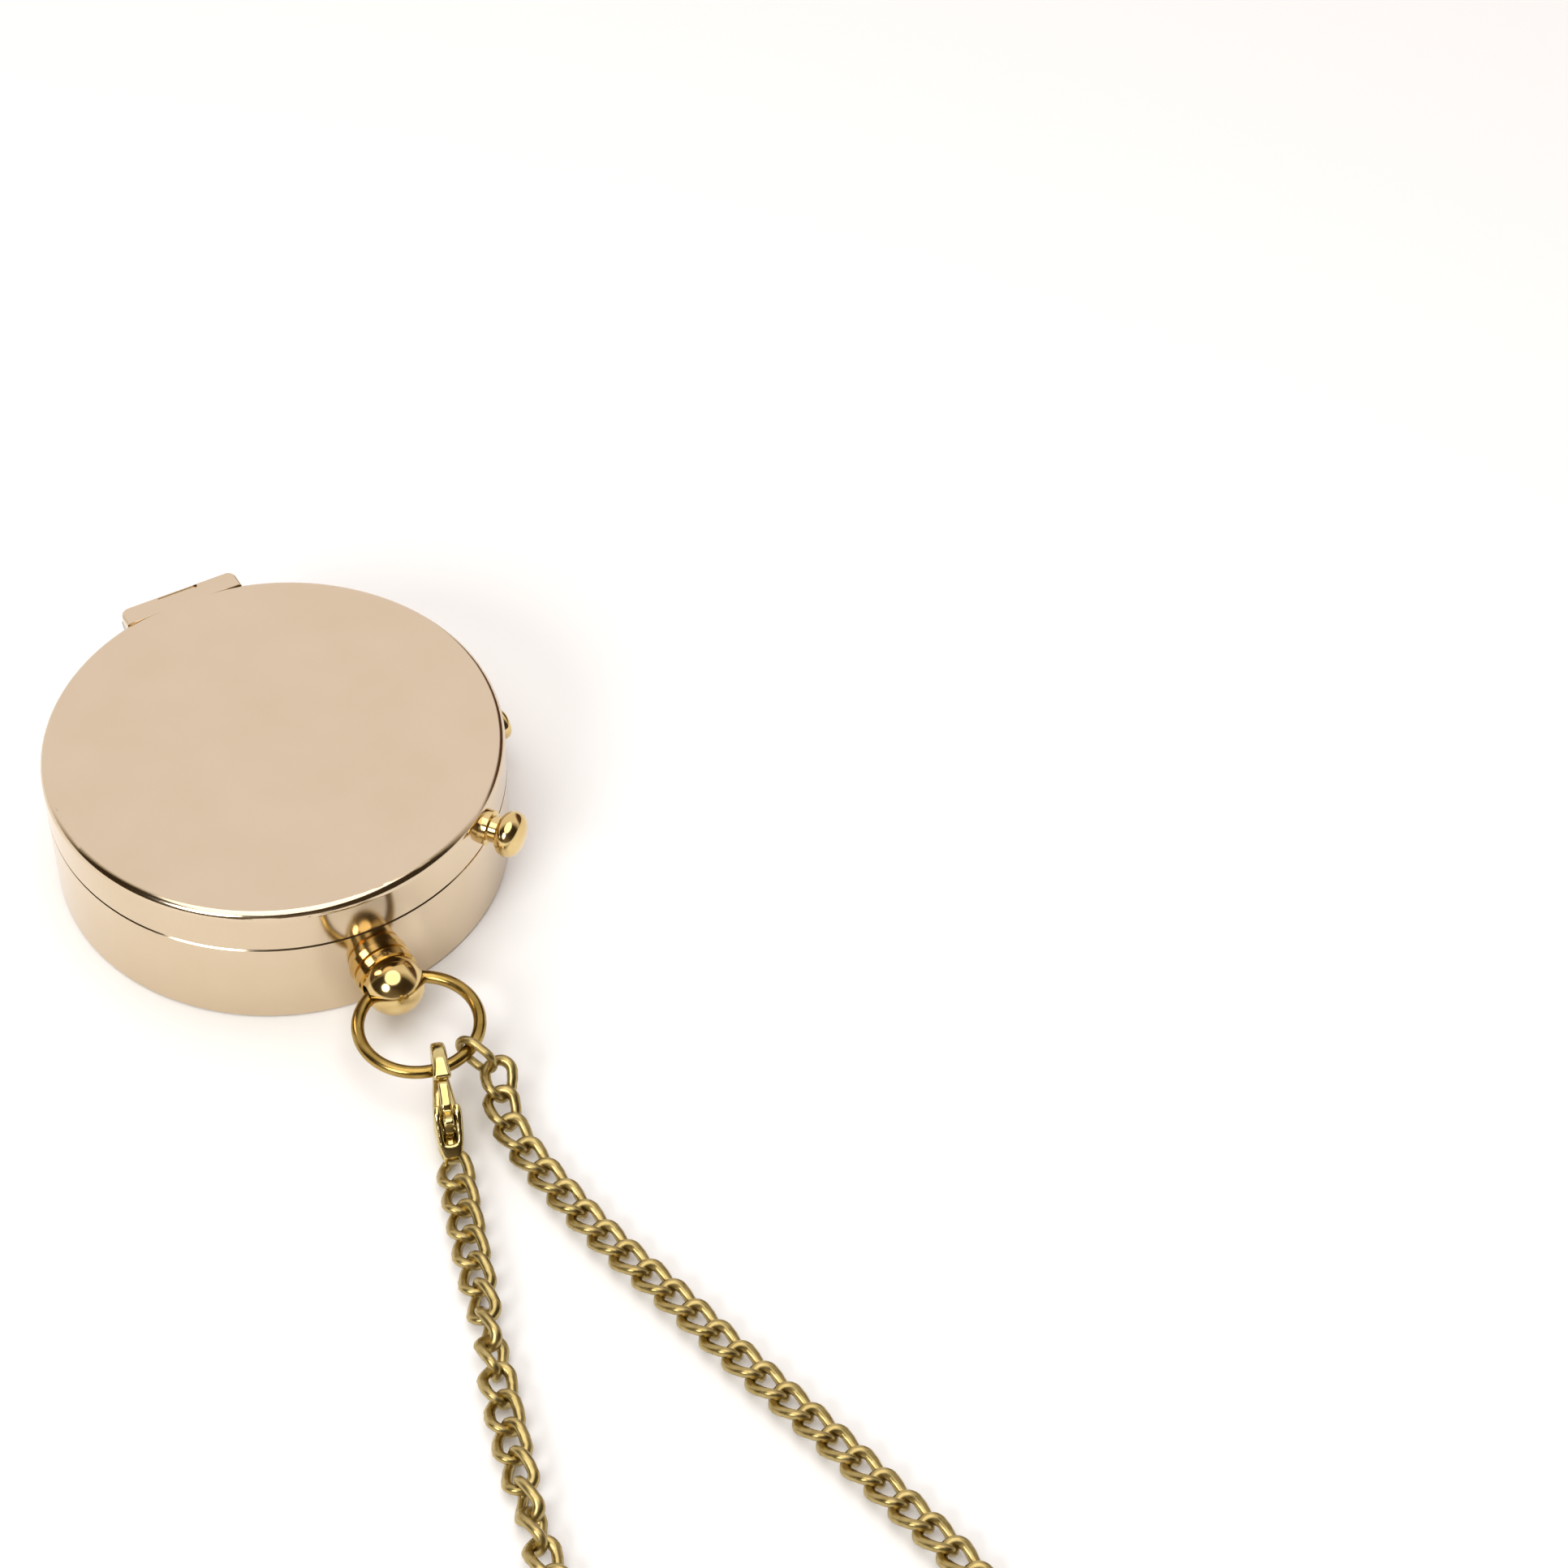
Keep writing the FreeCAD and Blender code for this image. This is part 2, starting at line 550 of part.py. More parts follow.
# ---------------------------------------------------------------- lobster clasp
# Local X runs from the hook's end to the eye, local Y up, local Z across the cheeks.
CLASP_ACROSS = -1.0
CLASP_HOOKED = 4.3
CLASP_DROP = math.radians(23)
clasp_heading = Vector(-0.324, -0.946, 0).normalize()
clasp_way = clasp_heading * math.cos(CLASP_DROP) - UP * math.sin(CLASP_DROP)
clasp_up = clasp_heading * math.sin(CLASP_DROP) + UP * math.cos(CLASP_DROP)
clasp_place = frame_place(bow_point(CLASP_ACROSS) - clasp_way * CLASP_HOOKED, clasp_way, clasp_up)


def tangent_hull(circles, thickness):
    """An upright slab around a chain of circles (x, y, radius), as a fused outline."""
    shape = None
    for centre_x, centre_y, radius in circles:
        piece = Part.makeCylinder(radius, thickness, Vector(centre_x, centre_y, -thickness / 2))
        shape = piece if shape is None else shape.fuse(piece)
    for first, second in zip(circles, circles[1:]):
        start, end = Vector(first[0], first[1], 0), Vector(second[0], second[1], 0)
        way = (end - start).normalize()
        lean = (first[2] - second[2]) / (end - start).Length
        corners = []
        for side in (1, -1):
            normal = Vector(way.x * lean - side * way.y * math.sqrt(1 - lean ** 2),
                            way.y * lean + side * way.x * math.sqrt(1 - lean ** 2), 0)
            corners.append((start + normal * first[2], end + normal * second[2]))
        loop = [corners[0][0], corners[0][1], corners[1][1], corners[1][0], corners[0][0]]
        face = Part.Face(Part.makePolygon([point + Vector(0, 0, -thickness / 2) for point in loop]))
        shape = shape.fuse(face.extrude(Vector(0, 0, thickness)))
    return shape.removeSplitter()


CLASP_OUTER = [(4.6, 0, 4.5), (11.5, 0.0, 4.7), (18.1, 0, 1.9)]
CLASP_OPENING = [(5.1, 0, 2.7), (10.4, 0.2, 2.2)]
CLASP_SLOT = 0.95
clasp_blank = tangent_hull(CLASP_OUTER, 5.0)
sides = [(-1, 1.2), (4.5, 1.25), (9.5, 1.9), (13, 2.3), (16.5, 2.1), (21, 1.2)]
outline = [Vector(x, -6, z) for x, z in sides] + [Vector(x, -6, -z) for x, z in reversed(sides)]
wedge = Part.Face(Part.makePolygon(outline + [outline[0]])).extrude(Vector(0, 12, 0))
clasp_shape = clasp_blank.common(wedge).cut(tangent_hull(CLASP_OPENING, 8))
gate_gap = Part.makeBox(4.2, 5, 8, Vector(7.0, 1.5, -4))
lever_room = Part.makeBox(10.2, 5.2, 2 * CLASP_SLOT, Vector(7.0, -0.2, -CLASP_SLOT))
eye_hole = Part.makeCylinder(1.0, 8, Vector(18.2, 0, -4))
RIVET = Vector(14.6, 1.0, 0)
rivet_hole = Part.makeCylinder(0.6, 8, RIVET - UP * 4)
for tool in (gate_gap, lever_room, eye_hole, rivet_hole):
    clasp_shape = clasp_shape.cut(tool)
keep(solid("clasp", clasp_shape, clasp_place), "clasp_body")
LEVER_HALF = 0.8
gate = tangent_hull([(8.1, 3.5, 0.85), (11.2, 3.4, 0.95), (RIVET.x, RIVET.y, 1.15)], 2 * LEVER_HALF)
tab = tangent_hull([(13.2, 3.2, 1.1), (14.2, 4.6, 0.8)], 2 * LEVER_HALF)
gate = gate.fuse(tab).removeSplitter().cut(Part.makeCylinder(0.65, 8, RIVET - UP * 4))
keep(solid("gate", gate, clasp_place), "clasp_lever")
rivet_pin = Part.makeCylinder(0.6, 4.2, RIVET - UP * 2.1)
keep(solid("rivet", rivet_pin, clasp_place), "clasp_rivet")
leaf_wire = Part.makeBox(1.5, 0.3, 1.4, Vector(12.1, -0.2, -0.7))
keep(solid("clasp_leaf", leaf_wire, clasp_place), "clasp_spring")

# ---------------------------------------------------------------- chain
# Straight runs with tangent arcs, from the end link, along the table and back to the clasp's eye.
LINK_EXIT = link_spot + link_way * (size("link_length") + size("link_wire") * 2 - size("bow_wire") + 0.35)
EYE_END = clasp_place.multVec(Vector(size("clasp_length") + 0.2, 0, 0))
CHAIN_ROUTE = [
    (5.0, -70.8, 3.6), (4.9, -78.5, 2.25), (6.4, -89.5, 2.2), (8.6, -101.5, 2.2), (12.6, -115.5, 2.2),
    (16.0, -130.5, 2.2), (20.4, -146.5, 2.2), (24.0, -162.0, 2.2), (27.6, -177.0, 2.2),
    (26.5, -192.0, 2.2), (15.5, -203.5, 2.2), (-0.5, -206.0, 2.2), (-15.5, -199.0, 2.2),
    (-24.5, -185.0, 2.2), (-27.6, -168.5, 2.2), (-26.8, -152.0, 2.2), (-23.4, -135.5, 2.2),
    (-19.4, -120.0, 2.2), (-14.6, -105.5, 2.2), (-11.4, -94.0, 2.2), (-8.4, -84.5, 2.25),
]


def round_route(points):
    """Straight runs joined by tangent arcs, each as large as its two runs allow."""
    edges = []
    start = points[0]
    tightest = 1e9
    for before, corner, after in zip(points, points[1:], points[2:]):
        arriving = (corner - before).normalize()
        leaving = (after - corner).normalize()
        turn = arriving.getAngle(leaving)
        setback = 0.45 * min((corner - before).Length, (after - corner).Length)
        radius = setback / math.tan(turn / 2)
        tightest = min(tightest, radius)
        begin = corner - arriving * setback
        finish = corner + leaving * setback
        centre_way = (leaving - arriving).normalize()
        middle = corner + centre_way * (radius / math.cos(turn / 2) - radius)
        edges.append(Part.LineSegment(start, begin).toShape())
        edges.append(Part.Arc(begin, middle, finish).toShape())
        start = finish
    edges.append(Part.LineSegment(start, points[-1]).toShape())
    print("chain: tightest radius %.1f mm" % tightest)
    return Part.Wire(edges)


route = round_route([LINK_EXIT] + [Vector(*point) for point in CHAIN_ROUTE] + [EYE_END])
chain_radius = size("chain_diameter") / 2
first_way = (Vector(*CHAIN_ROUTE[0]) - LINK_EXIT).normalize()
chain_section = Part.Wire([Part.makeCircle(chain_radius, LINK_EXIT, first_way)])
chain_shape = route.makePipeShell([chain_section], True, False)
print("chain: %.1f mm long, volume %.0f of %.0f" % (
    route.Length, chain_shape.Volume, math.pi * chain_radius ** 2 * route.Length))
print("link exit", LINK_EXIT, "eye end", EYE_END)
keep(solid("chain", chain_shape), "chain_tube")

# ---------------------------------------------------------------- check and write
doc.recompute()
for feature in doc.Objects:
    if "Invalid" in feature.State or "Error" in feature.State:
        raise RuntimeError(feature.Label + " failed: " + str(feature.State))
os.makedirs("parts", exist_ok=True)
for feature in subparts:
    shape = feature.Shape
    if shape.isNull() or not shape.isValid() or not shape.Solids:
        raise RuntimeError(feature.Label + " has no valid solid")
    shape.exportStep(os.path.join("parts", feature.Label + ".step"))
print("%d sub-parts written" % len(subparts))
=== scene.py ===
# A handheld bearing compass in a round brass case, with a fob chain that loops back to
# its bow. Metres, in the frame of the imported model: the pendant points to -Y, up is +Z.
import math

import bmesh
import bpy
from mathutils import Matrix, Vector


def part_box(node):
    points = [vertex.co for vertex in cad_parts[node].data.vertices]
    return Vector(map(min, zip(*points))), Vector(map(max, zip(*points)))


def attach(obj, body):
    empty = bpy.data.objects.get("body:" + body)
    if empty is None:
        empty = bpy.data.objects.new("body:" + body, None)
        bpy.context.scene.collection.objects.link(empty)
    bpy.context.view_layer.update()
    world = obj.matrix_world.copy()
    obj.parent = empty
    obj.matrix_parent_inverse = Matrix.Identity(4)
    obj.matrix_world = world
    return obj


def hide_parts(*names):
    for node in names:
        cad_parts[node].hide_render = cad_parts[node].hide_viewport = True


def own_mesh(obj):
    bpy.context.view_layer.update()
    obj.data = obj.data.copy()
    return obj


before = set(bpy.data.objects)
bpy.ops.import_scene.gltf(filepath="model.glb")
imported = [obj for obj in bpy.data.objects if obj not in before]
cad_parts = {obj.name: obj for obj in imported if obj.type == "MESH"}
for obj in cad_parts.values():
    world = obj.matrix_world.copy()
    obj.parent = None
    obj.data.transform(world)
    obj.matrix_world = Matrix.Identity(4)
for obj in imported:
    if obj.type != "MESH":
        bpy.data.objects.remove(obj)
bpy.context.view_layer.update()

# ---------------------------------------------------------------- camera
# The compass is looked down on from its lower left, through a long lens, with the
# chain running off the bottom of the view.
MM = 0.001
VIEWPOINT = (-0.13350, -0.37932, 0.44969)
HEADING = math.radians(-31.5)
LOOK_DOWN = math.radians(47.583)
ROLL = math.radians(2.126)
lens = bpy.data.cameras.new("camera")
lens.lens = 80.58
lens.sensor_width = 36
camera = bpy.data.objects.new("camera", lens)
camera.matrix_world = (
    Matrix.Translation(VIEWPOINT)
    @ Matrix.Rotation(HEADING, 4, "Z")
    @ Matrix.Rotation(math.pi / 2 - LOOK_DOWN, 4, "X")
    @ Matrix.Rotation(ROLL, 4, "Z")
)
bpy.context.scene.collection.objects.link(camera)
bpy.context.scene.camera = camera


# ---------------------------------------------------------------- floor and light
# A white sweep under even studio light: white in front of and over the compass, and a
# dim room behind the viewer, which polished brass shows as its dark lines.
def tone(code):
    """The linear colour of an sRGB hex value."""
    parts = [int(code[place:place + 2], 16) / 255 for place in (1, 3, 5)]
    return [part / 12.92 if part <= 0.04045 else ((part + 0.055) / 1.055) ** 2.4 for part in parts] + [1]


def add(tree, kind, feeds=(), **settings):
    """Adds a node. Settings name its properties or inputs, and feeds pairs an input with an output."""
    made = tree.nodes.new(kind)
    for name, value in settings.items():
        if hasattr(made, name):
            setattr(made, name, value)
        else:
            made.inputs[name.replace("_", " ")].default_value = value
    for socket, source in feeds:
        tree.links.new(source, made.inputs[socket])
    return made


def fade(tree, source, *stops):
    """A colour ramp through (place, hex colour or grey) stops."""
    ramp = add(tree, "ShaderNodeValToRGB", [("Fac", source)])
    while len(ramp.color_ramp.elements) < len(stops):
        ramp.color_ramp.elements.new(0.5)
    for element, (place, colour) in zip(ramp.color_ramp.elements, stops):
        element.position = place
        element.color = tone(colour) if isinstance(colour, str) else [colour] * 3 + [1]
    return ramp.outputs["Color"]


def untouched():
    """Leaves nothing selected, so that an operator acts on the new piece alone."""
    if bpy.context.mode != "OBJECT":
        bpy.ops.object.mode_set(mode="OBJECT")
    bpy.ops.object.select_all(action="DESELECT")


untouched()
bpy.ops.mesh.primitive_plane_add(size=5)
floor = bpy.context.object
floor.name = "floor"
floor_paint = bpy.data.materials.new("white_paper_sweep")
floor_paint.use_nodes = True
paper = floor_paint.node_tree.nodes["Principled BSDF"]
paper.inputs["Base Color"].default_value = tone("#FFFFFF")
paper.inputs["Roughness"].default_value = 0.9
paper.inputs["Specular IOR Level"].default_value = 0.1
floor.data.materials.append(floor_paint)

studio = bpy.data.worlds.new("studio")
bpy.context.scene.world = studio
studio.use_nodes = True
sky = studio.node_tree
sky.nodes.clear()
way = add(sky, "ShaderNodeTexCoord").outputs["Generated"]
ahead = add(sky, "ShaderNodeVectorMath", [(0, way)], operation="DOT_PRODUCT")
ahead.inputs[1].default_value = (-math.sin(HEADING), math.cos(HEADING), 0)
depth = add(sky, "ShaderNodeMapRange", [("Value", ahead.outputs["Value"])], From_Min=-1)
room = fade(sky, depth.outputs["Result"], (0.0, "#6E6252"), (0.12, "#3E3222"), (0.46, "#33291B"),
            (0.54, "#A89C8A"), (0.66, "#EBE6E7"))
FLAG_SIDE = HEADING + math.radians(48)
side = add(sky, "ShaderNodeVectorMath", [(0, way)], operation="DOT_PRODUCT")
side.inputs[1].default_value = (math.cos(FLAG_SIDE), math.sin(FLAG_SIDE), 0)
flag = add(sky, "ShaderNodeMapRange", [("Value", side.outputs["Value"])], From_Min=0.80, From_Max=0.90)
shaded = add(sky, "ShaderNodeMix", [("Factor", flag.outputs["Result"]), ("A", room)], data_type="RGBA")
shaded.inputs["B"].default_value = tone("#54392A")
seen = add(sky, "ShaderNodeLightPath").outputs["Is Camera Ray"]
wall = add(sky, "ShaderNodeMix", [("Factor", seen), ("A", shaded.outputs["Result"])], data_type="RGBA")
wall.inputs["B"].default_value = tone("#FFFFFF")
air = add(sky, "ShaderNodeBackground", [("Color", wall.outputs["Result"])], Strength=1.28)
add(sky, "ShaderNodeOutputWorld", [("Surface", air.outputs[0])])


def softbox(name, place, size, watts, colour):
    """A round studio light that faces the compass."""
    lamp = bpy.data.lights.new(name, "AREA")
    lamp.shape = "DISK"
    lamp.size = size
    lamp.energy = watts
    lamp.color = tone(colour)[:3]
    holder = bpy.data.objects.new(name, lamp)
    holder.location = place
    holder.rotation_euler = Vector(place).to_track_quat("Z", "Y").to_euler()
    bpy.context.scene.collection.objects.link(holder)


softbox("left_softbox", (-0.95, -0.55, 0.75), 0.6, 8, "#FFFFFF")
softbox("top_softbox", (-0.16, -0.26, 1.3), 1.4, 11, "#FFFDFB")
bpy.context.scene.view_settings.view_transform = "Standard"

# ---------------------------------------------------------------- chain
# A curb chain: oval links of 1.8 mm brass wire, each twisted by about a right angle so
# that the chain lies flat. It leaves the bow by its end link, loops round on the table
# and comes back to the clasp. It turns over twice, at TURNS_OVER before the clasp.
LINK_EXIT = Vector((7.493, -65.899, 6.290))
EYE_END = Vector((-5.742, -76.195, 2.287))
CHAIN_ROUTE = [
    LINK_EXIT,
    (5.0, -70.8, 4.2), (4.9, -78.5, 3.0), (6.4, -89.5, 2.9), (8.6, -101.5, 2.9),
    (12.6, -115.5, 2.9), (16.0, -130.5, 2.9), (20.4, -146.5, 2.9), (24.0, -162.0, 2.9),
    (27.6, -177.0, 2.9), (26.5, -192.0, 2.9), (15.5, -203.5, 2.9), (-0.5, -206.0, 2.9),
    (-15.5, -199.0, 2.9), (-24.5, -185.0, 2.9), (-27.6, -168.5, 2.9), (-26.8, -152.0, 2.9),
    (-23.4, -135.5, 3.0), (-19.4, -120.0, 3.0), (-14.6, -105.5, 3.0), (-11.4, -94.0, 3.0),
    (-8.4, -84.5, 3.0),
    EYE_END,
]
WIRE_RADIUS = 0.9
LINK_HALF_WIDTH = 2.2
LINK_STRETCH = 0.9
LINK_TWIST = math.radians(-95)
LINK_LEAN = math.radians(-15)
LINK_PITCH = 5.0
TURNS_OVER = (34, 66)
TURN_LENGTH = 5
FIRST_LINK = 1.1
LAST_LINK = 1.4


def follow(name, points):
    """Points close together along the smooth line that these control points give."""
    line = bpy.data.curves.new(name, "CURVE")
    line.dimensions = "3D"
    spline = line.splines.new("NURBS")
    spline.points.add(len(points) - 1)
    for knot, point in zip(spline.points, points):
        knot.co = (*(Vector(point) * MM), 1)
    spline.order_u = 3
    spline.use_endpoint_u = True
    line.resolution_u = 24
    holder = bpy.data.objects.new(name, line)
    read = bpy.data.meshes.new_from_object(holder)
    found = [vertex.co.copy() for vertex in read.vertices]
    bpy.data.objects.remove(holder)
    bpy.data.meshes.remove(read)
    return found


chain_line = follow("chain_line", CHAIN_ROUTE)
distances = [0.0]
for before, after in zip(chain_line, chain_line[1:]):
    distances.append(distances[-1] + (after - before).length)
chain_length = distances[-1]


def along(distance):
    """The point and the forward direction at this distance along the chain's line."""
    for index in range(1, len(distances)):
        if distances[index] >= distance or index == len(distances) - 1:
            run = chain_line[index] - chain_line[index - 1]
            share = (distance - distances[index - 1]) / (distances[index] - distances[index - 1])
            return chain_line[index - 1] + run * share, run.normalized()


untouched()
bpy.ops.mesh.primitive_torus_add(
    major_radius=LINK_HALF_WIDTH * MM, minor_radius=WIRE_RADIUS * MM, major_segments=36, minor_segments=10)
link = bpy.context.object
for vertex in link.data.vertices:
    if abs(vertex.co.x) > 1e-6:
        vertex.co.x += math.copysign(LINK_STRETCH * MM, vertex.co.x)
wring = link.modifiers.new("wring", "SIMPLE_DEFORM")
wring.deform_method = "TWIST"
wring.deform_axis = "X"
wring.angle = LINK_TWIST
bpy.ops.object.modifier_apply(modifier="wring")

first, last = FIRST_LINK * MM, chain_length - LAST_LINK * MM
gaps = round((last - first) / (LINK_PITCH * MM))
chain_mesh = bmesh.new()
for number in range(gaps + 1):
    reach = first + (last - first) * number / gaps
    centre, forward = along(reach)
    sideways = Vector((0, 0, 1)).cross(forward).normalized()
    turned_over = sum(
        1 / (1 + math.exp((chain_length - reach - slack * MM) / (-TURN_LENGTH * MM))) for slack in TURNS_OVER)
    roll = Matrix.Rotation(LINK_LEAN - math.pi * turned_over, 4, forward)
    seat = Matrix((forward, sideways, forward.cross(sideways))).transposed().to_4x4()
    copy = link.data.copy()
    copy.transform(Matrix.Translation(centre) @ roll @ seat)
    chain_mesh.from_mesh(copy)
    bpy.data.meshes.remove(copy)
chain_links = bpy.data.objects.new("chain_links", bpy.data.meshes.new("chain_links"))
chain_mesh.to_mesh(chain_links.data)
chain_mesh.free()
bpy.data.objects.remove(link)
bpy.context.scene.collection.objects.link(chain_links)
for face in chain_links.data.polygons:
    face.use_smooth = True


def finish(name, dark, light, roughness, drift, grain, scratch):
    """A worked metal: its colour drifts slowly, its gloss in patches, and fine scratches cross it."""
    paint = bpy.data.materials.new(name)
    paint.use_nodes = True
    tree = paint.node_tree
    shader = tree.nodes["Principled BSDF"]
    shader.inputs["Metallic"].default_value = 1
    place = add(tree, "ShaderNodeTexCoord").outputs["Object"]
    slow = add(tree, "ShaderNodeTexNoise", [("Vector", place)],
               Scale=1 / (drift * MM), Detail=3.0, Roughness=0.55)
    fine = add(tree, "ShaderNodeTexNoise", [("Vector", place)],
               Scale=1 / (grain * MM), Detail=4.0, Roughness=0.6)
    colour = fade(tree, slow.outputs["Fac"], (0.3, dark), (0.7, light))
    tree.links.new(colour, shader.inputs["Base Color"])
    gloss = add(tree, "ShaderNodeMapRange", [("Value", slow.outputs["Fac"])], From_Min=0.3, From_Max=0.7)
    gloss.inputs["To Min"].default_value = roughness[0]
    gloss.inputs["To Max"].default_value = roughness[1]
    tree.links.new(gloss.outputs["Result"], shader.inputs["Roughness"])
    dent = add(tree, "ShaderNodeBump", [("Height", fine.outputs["Fac"])],
               Strength=scratch, Distance=0.02 * MM)
    tree.links.new(dent.outputs["Normal"], shader.inputs["Normal"])
    return paint


chain_finish = finish("tumbled_brass_wire", "#9E8A55", "#BDA971", (0.26, 0.38), 1.5, 0.15, 0.35)
chain_links.data.materials.append(chain_finish)
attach(chain_links, "chain")
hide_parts("chain_tube")


def clothe(paint, *names):
    """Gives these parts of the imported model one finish."""
    for name in names:
        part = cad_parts[name]
        part.data.materials.clear()
        part.data.materials.append(paint)


# ---------------------------------------------------------------- bow ring and end link
# The bow is 2.1 mm drawn brass wire, bent round and brazed shut. It and the chain's
# flat end link have darkened to olive in the hand.
bow_finish = finish("darkened_brass_wire", "#93793C", "#B89B58", (0.16, 0.26), 4, 0.2, 0.2)
clothe(bow_finish, "bow_ring")
clothe(chain_finish, "chain_end_link")

# ---------------------------------------------------------------- clasp
# A lobster clasp cast in brass and tumbled bright, so every edge is round. Its thumb
# lever turns on a rivet against a leaf spring, and its hook is on the bow.
def cast(source, name, body, voxel, swell, rounds):
    """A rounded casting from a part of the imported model, which it replaces."""
    made = bpy.data.objects.new(name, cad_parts[source].data.copy())
    bpy.context.scene.collection.objects.link(made)
    untouched()
    made.select_set(True)
    bpy.context.view_layer.objects.active = made
    bpy.ops.object.mode_set(mode="EDIT")
    bpy.ops.mesh.select_all(action="SELECT")
    bpy.ops.mesh.remove_doubles(threshold=0.001 * MM)
    bpy.ops.object.mode_set(mode="OBJECT")
    skin = made.modifiers.new("skin", "REMESH")
    skin.mode = "VOXEL"
    skin.voxel_size = voxel * MM
    fullness = made.modifiers.new("fullness", "DISPLACE")
    fullness.mid_level = 0
    fullness.strength = swell * MM
    tumble = made.modifiers.new("tumble", "SMOOTH")
    tumble.factor = 0.5
    tumble.iterations = rounds
    for step in ("skin", "fullness", "tumble"):
        bpy.ops.object.modifier_apply(modifier=step)
    bpy.ops.object.shade_smooth()
    made.data.materials.clear()
    made.data.materials.append(clasp_finish)
    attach(made, body)
    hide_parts(source)
    return made


clasp_finish = finish("bright_cast_brass", "#C2AE70", "#D6C48C", (0.12, 0.20), 3, 0.25, 0.06)
clasp_casting = cast("clasp_body", "clasp_casting", "chain", 0.2, 0.02, 70)
clasp_trigger = cast("clasp_lever", "clasp_trigger", "gate", 0.14, 0.05, 30)
clothe(clasp_finish, "clasp_rivet")

# ---------------------------------------------------------------- case, lid and hinge
# Both halves are pressed and turned from sheet brass, polished and lacquered, which
# leaves a soft bright face. The hinge's lug is brazed to the lid and its leg is screwed
# to the case.
case_finish = finish("lacquered_polished_brass", "#D4C1A5", "#D7C5AA", (0.11, 0.15), 14, 0.12, 0.04)
hinge_finish = finish("filed_brass", "#CDB27C", "#D8C090", (0.16, 0.26), 5, 0.15, 0.1)
steel_finish = finish("ground_spring_steel", "#8C8C8A", "#B4B4B0", (0.2, 0.35), 2, 0.1, 0.1)
inner_finish = finish("lathe_turned_brass", "#C9AD6A", "#D9C184", (0.18, 0.28), 6, 0.2, 0.1)
for source, name, body in (("case_body", "case_pressing", "case"), ("lid_shell", "lid_pressing", "lid")):
    shell = bpy.data.objects.new(name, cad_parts[source].data.copy())
    bpy.context.scene.collection.objects.link(shell)
    untouched()
    shell.select_set(True)
    bpy.context.view_layer.objects.active = shell
    bpy.ops.object.mode_set(mode="EDIT")
    bpy.ops.mesh.select_all(action="SELECT")
    bpy.ops.mesh.remove_doubles(threshold=0.001 * MM)
    bpy.ops.mesh.customdata_custom_splitnormals_clear()
    bpy.ops.object.mode_set(mode="OBJECT")
    bpy.ops.object.shade_smooth_by_angle(angle=math.radians(32))
    even = shell.modifiers.new("even", "WEIGHTED_NORMAL")
    even.keep_sharp = True
    even.weight = 80
    bpy.ops.object.modifier_apply(modifier="even")
    shell.data.materials.clear()
    shell.data.materials.append(case_finish)
    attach(shell, body)
    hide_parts(source)
clothe(case_finish, "lid_hinge_lug")
clothe(hinge_finish, "body_hinge_knuckle", "hinge_screws")
clothe(steel_finish, "hinge_pin", "lid_catch_spring", "clasp_spring")

# ---------------------------------------------------------------- pendant, stud and side knob
# Turned from solid brass bar and buffed, so they are yellower and sharper than the
# lacquered case. The knobs' collars seat on the wall, and nuts hold them inside.
knob_finish = finish("buffed_bar_brass", "#CDB072", "#DEC58C", (0.10, 0.17), 5, 0.2, 0.04)
clothe(knob_finish, "pendant", "lid_stud", "lock_knob", "lock_bush")
clothe(inner_finish, "pendant_nut", "lid_stud_nut")

# ---------------------------------------------------------------- dial
# A brass plate lacquered cream, printed in black with a degree scale, numbers every
# thirty degrees, the cardinal letters and a faceted wind rose.
def lacquer(name, dark, light, roughness, drift):
    """A sprayed lacquer: nearly even, with a faint mottle and a soft shine."""
    paint = bpy.data.materials.new(name)
    paint.use_nodes = True
    tree = paint.node_tree
    shader = tree.nodes["Principled BSDF"]
    shader.inputs["Roughness"].default_value = roughness
    shader.inputs["Coat Weight"].default_value = 0.3
    place = add(tree, "ShaderNodeTexCoord").outputs["Object"]
    cloud = add(tree, "ShaderNodeTexNoise", [("Vector", place)], Scale=1 / (drift * MM), Detail=5.0)
    tree.links.new(fade(tree, cloud.outputs["Fac"], (0.35, dark), (0.65, light)), shader.inputs["Base Color"])
    peel = add(tree, "ShaderNodeBump", [("Height", cloud.outputs["Fac"])], Strength=0.05, Distance=0.02 * MM)
    tree.links.new(peel.outputs["Normal"], shader.inputs["Normal"])
    return paint


enamel = lacquer("cream_dial_lacquer", "#F1E8CE", "#F8F1DC", 0.4, 5)
ink = lacquer("black_printing_ink", "#141312", "#201E1C", 0.5, 1)
red_ink = lacquer("red_printing_ink", "#8E1F18", "#A32A20", 0.5, 1)
clothe(enamel, "dial_plate")
DIAL_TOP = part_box("dial_plate")[1][2]
PRINT = 0.03 * MM
SCALE_RADIUS = 31.9
NUMBER_RADIUS = 27.4
LETTER_RADIUS = 22.2
ROSE_WAIST = 0.27


def printed(piece, paint):
    """Puts a finished print on the dial, with its place in its mesh."""
    untouched()
    piece.select_set(True)
    bpy.context.view_layer.objects.active = piece
    if piece.type != "MESH":
        bpy.ops.object.convert(target="MESH")
    piece.data.transform(piece.matrix_world)
    piece.matrix_world = Matrix.Identity(4)
    piece.data.materials.clear()
    piece.data.materials.append(paint)
    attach(piece, "case")


